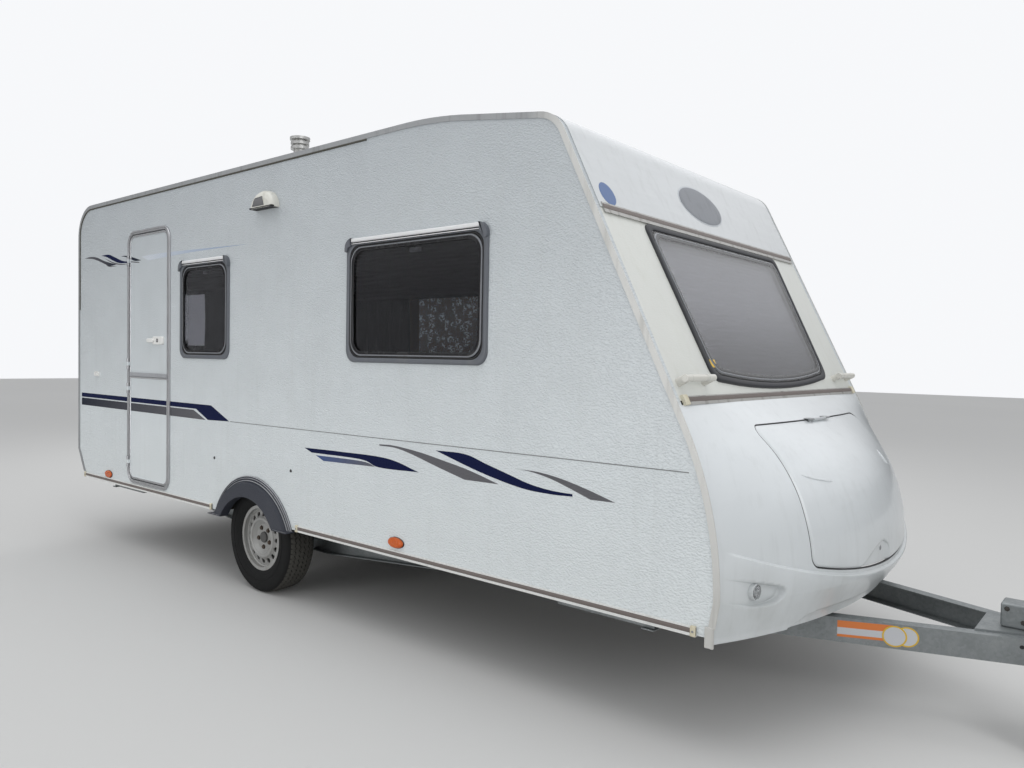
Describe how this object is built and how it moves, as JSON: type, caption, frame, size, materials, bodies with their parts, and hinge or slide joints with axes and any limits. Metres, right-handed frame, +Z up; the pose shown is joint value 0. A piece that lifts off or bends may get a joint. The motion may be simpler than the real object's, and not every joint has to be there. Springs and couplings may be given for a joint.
{
  "type": "touring caravan",
  "caption": "Single-axle touring caravan with stable door, framed acrylic windows, nose locker lid, drawbar, jockey wheel and corner steadies.",
  "frame": {"origin": "on the ground under the middle of the overall length and width", "axes": "+X forward to the coupling, +Y to the left, +Z up; the entrance door is on the right side at -Y"},
  "size_m": [6.936, 2.207, 2.74],
  "materials": {
    "white_skin": "satin",
    "gloss_moulding": "gloss",
    "ivory_panel": "satin",
    "floor_board": "matte",
    "bare_aluminium": "satin",
    "grey_plastic": "satin",
    "tinted_acrylic": "gloss",
    "slate_plastic": "satin",
    "orange_lens": "gloss",
    "clear_lens": "gloss",
    "red_lens": "gloss",
    "white_plastic": "satin",
    "galvanised": "satin",
    "black_steel": "satin",
    "silver_steel": "satin",
    "tyre_rubber": "matte",
    "black_rubber": "matte",
    "beech_board": "satin",
    "upholstery": "matte"
  },
  "bodies": {
    "caravan": {"floor": "floor_board", "side_wall_right": "white_skin", "side_wall_left": "white_skin", "roof": "white_skin", "rear_wall": "white_skin", "brow_moulding": "gloss_moulding", "front_window_panel": "ivory_panel", "front_trims": "bare_aluminium", "nose_moulding": "gloss_moulding", "locker_bulkhead": "floor_board", "window_frames": "grey_plastic", "window_panes": "tinted_acrylic", "window_drip_strips": "bare_aluminium", "door_frame": "bare_aluminium", "service_hatches": "white_plastic", "door_catch": "white_plastic", "edge_rails": "bare_aluminium", "skirt_rails": "white_plastic", "wheel_spats": "slate_plastic", "side_marker_lamps": "orange_lens", "front_marker_lamps": "clear_lens", "awning_lamp": "white_plastic", "grab_handles": "white_plastic", "rear_lamp_panel": "gloss_moulding", "rear_lamps": "red_lens", "rooflight": "white_plastic", "flue_cap": "galvanised", "chassis_rails": "galvanised", "drawbar_beams": "galvanised", "axle_tube": "galvanised", "trailing_arms": "galvanised", "overrun_unit": "black_steel", "coupling_head": "black_steel", "handbrake_lever": "black_steel", "jockey_outer_tube": "galvanised", "jockey_clamp": "galvanised", "steady_brackets": "galvanised", "rear_bed": "upholstery", "kitchen_unit": "beech_board", "washroom_and_wardrobe": "beech_board", "lounge_seats": "upholstery", "lounge_table": "beech_board"},
    "wheel_right": {"tyre_right": "tyre_rubber", "wheel_rim_right": "silver_steel", "brake_drum_right": "black_steel"},
    "wheel_left": {"tyre_left": "tyre_rubber", "wheel_rim_left": "silver_steel", "brake_drum_left": "black_steel"},
    "door_upper_leaf": {"door_upper": "white_skin", "door_handle": "white_plastic"},
    "door_lower_leaf": {"door_lower": "white_skin"},
    "locker_lid": {"locker_lid": "gloss_moulding"},
    "steady_rear_right": {"steady_rear_right": "galvanised"},
    "steady_rear_left": {"steady_rear_left": "galvanised"},
    "steady_front_right": {"steady_front_right": "galvanised"},
    "steady_front_left": {"steady_front_left": "galvanised"},
    "jockey_slider": {"jockey_inner_tube": "galvanised"},
    "jockey_caster": {"jockey_fork": "galvanised"},
    "jockey_wheel": {"jockey_wheel": "black_rubber"}
  },
  "joints": [
    {"name": "wheel_right_spin", "type": "hinge", "parent": "caravan", "child": "wheel_right", "pos_m": [-0.879, 0, 0.325], "axis": [0, 1, 0], "continuous": true},
    {"name": "wheel_left_spin", "type": "hinge", "parent": "caravan", "child": "wheel_left", "pos_m": [-0.879, 0, 0.325], "axis": [0, 1, 0], "continuous": true},
    {"name": "door_upper_hinge", "type": "hinge", "parent": "caravan", "child": "door_upper_leaf", "pos_m": [-2.515, -1.065, 1.255], "axis": [0, 0, -1], "range_deg": [0, 170]},
    {"name": "door_lower_hinge", "type": "hinge", "parent": "caravan", "child": "door_lower_leaf", "pos_m": [-2.515, -1.065, 1.255], "axis": [0, 0, -1], "range_deg": [0, 170]},
    {"name": "locker_lid_hinge", "type": "hinge", "parent": "caravan", "child": "locker_lid", "pos_m": [2.05659, 0, 1.181], "axis": [0, -1, 0], "range_deg": [0, 70]},
    {"name": "steady_rear_right_pivot", "type": "hinge", "parent": "caravan", "child": "steady_rear_right", "pos_m": [-2.734, -0.83, 0.367], "axis": [0, -1, 0], "range_deg": [0, 75]},
    {"name": "steady_rear_left_pivot", "type": "hinge", "parent": "caravan", "child": "steady_rear_left", "pos_m": [-2.734, 0.83, 0.367], "axis": [0, -1, 0], "range_deg": [0, 75]},
    {"name": "steady_front_right_pivot", "type": "hinge", "parent": "caravan", "child": "steady_front_right", "pos_m": [1.246, -0.83, 0.367], "axis": [0, 1, 0], "range_deg": [0, 75]},
    {"name": "steady_front_left_pivot", "type": "hinge", "parent": "caravan", "child": "steady_front_left", "pos_m": [1.246, 0.83, 0.367], "axis": [0, 1, 0], "range_deg": [0, 75]},
    {"name": "jockey_winding", "type": "slide", "parent": "caravan", "child": "jockey_slider", "axis": [0, 0, 1], "range_m": [-0.06, 0.1]},
    {"name": "jockey_swivel", "type": "hinge", "parent": "jockey_slider", "child": "jockey_caster", "pos_m": [3.061, -0.19, 0.22], "axis": [0, 0, 1], "continuous": true},
    {"name": "jockey_wheel_spin", "type": "hinge", "parent": "jockey_caster", "child": "jockey_wheel", "pos_m": [3.016, -0.19, 0.1], "axis": [0, 1, 0], "continuous": true}
  ]
}
